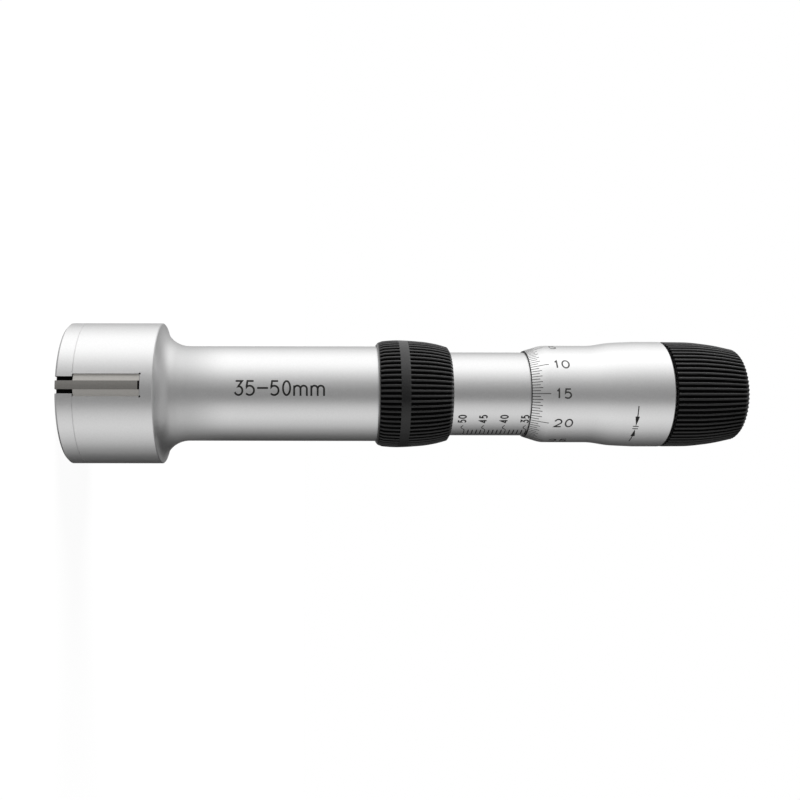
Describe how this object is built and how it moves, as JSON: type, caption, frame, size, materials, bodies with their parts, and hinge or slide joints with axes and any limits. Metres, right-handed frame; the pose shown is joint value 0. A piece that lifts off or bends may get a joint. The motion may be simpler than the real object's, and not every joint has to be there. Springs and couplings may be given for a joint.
{
  "type": "three-point inside micrometer",
  "caption": "Three-point inside micrometer: cylindrical head with sliding anvils, long tube, ribbed grip, graduated sleeve and thimble, ribbed ratchet knob.",
  "frame": {"origin": "centre of the front face of the measuring head, on which the instrument stands", "axes": "+Z along the instrument's axis from the head towards the ratchet knob; -Y along the first anvil"},
  "size_m": [0.0346, 0.0347, 0.1629],
  "materials": {
    "satin_chrome": "satin",
    "steel": "ground",
    "hard_metal": "fine ground",
    "hard_steel": "ground",
    "spring_steel": "bright",
    "bronze": "turned",
    "black_grip": "matt",
    "black_knob": "matt"
  },
  "bodies": {
    "frame": {"head_body": "satin_chrome", "front_cap": "satin_chrome", "cap_screws": "steel", "guide_bush": "bronze", "guide_key": "hard_steel", "barrel": "steel", "graduated_sleeve": "satin_chrome", "adjusting_nut": "steel", "grip_ring": "black_grip", "cone_return_spring": "spring_steel", "anvil_1_spring": "spring_steel", "anvil_2_spring": "spring_steel", "anvil_3_spring": "spring_steel"},
    "cone_body": {"cone": "hard_steel", "push_rod": "hard_steel", "spring_collar": "steel", "thrust_ball": "hard_steel"},
    "thimble_body": {"spindle": "hard_steel", "thimble": "satin_chrome", "ratchet_base": "steel", "ratchet_screw": "steel"},
    "knob_body": {"ratchet_knob": "black_knob", "ratchet_disc": "hard_steel", "ratchet_spring": "spring_steel"},
    "anvil_1_body": {"anvil_1": "steel", "anvil_1_strip": "hard_metal"},
    "anvil_2_body": {"anvil_2": "steel", "anvil_2_strip": "hard_metal"},
    "anvil_3_body": {"anvil_3": "steel", "anvil_3_strip": "hard_metal"}
  },
  "joints": [
    {"name": "cone_advance", "type": "slide", "parent": "frame", "child": "cone_body", "axis": [0, 0, -1], "range_m": [0, 0.0155], "deforming": ["cone_return_spring"]},
    {"name": "thimble_turn", "type": "hinge", "parent": "cone_body", "child": "thimble_body", "pos_m": [0, 0, 0.14], "axis": [0, 0, -1], "range_deg": [0, 11171.16]},
    {"name": "ratchet_turn", "type": "hinge", "parent": "thimble_body", "child": "knob_body", "pos_m": [0, 0, 0.155], "axis": [0, 0, -1], "continuous": true},
    {"name": "anvil_1_slide", "type": "slide", "parent": "frame", "child": "anvil_1_body", "axis": [0, -1, 0], "range_m": [0, 0.00776], "deforming": ["anvil_1_spring"]},
    {"name": "anvil_2_slide", "type": "slide", "parent": "frame", "child": "anvil_2_body", "axis": [0.866, 0.5, 0], "range_m": [0, 0.00776], "deforming": ["anvil_2_spring"]},
    {"name": "anvil_3_slide", "type": "slide", "parent": "frame", "child": "anvil_3_body", "axis": [-0.866, 0.5, 0], "range_m": [0, 0.00776], "deforming": ["anvil_3_spring"]}
  ],
  "couplings": [
    {"joint": "thimble_turn", "follows": "cone_advance", "rad_per_m": 12566},
    {"joint": "anvil_1_slide", "follows": "cone_advance", "ratio": 0.5},
    {"joint": "anvil_2_slide", "follows": "cone_advance", "ratio": 0.5},
    {"joint": "anvil_3_slide", "follows": "cone_advance", "ratio": 0.5}
  ]
}
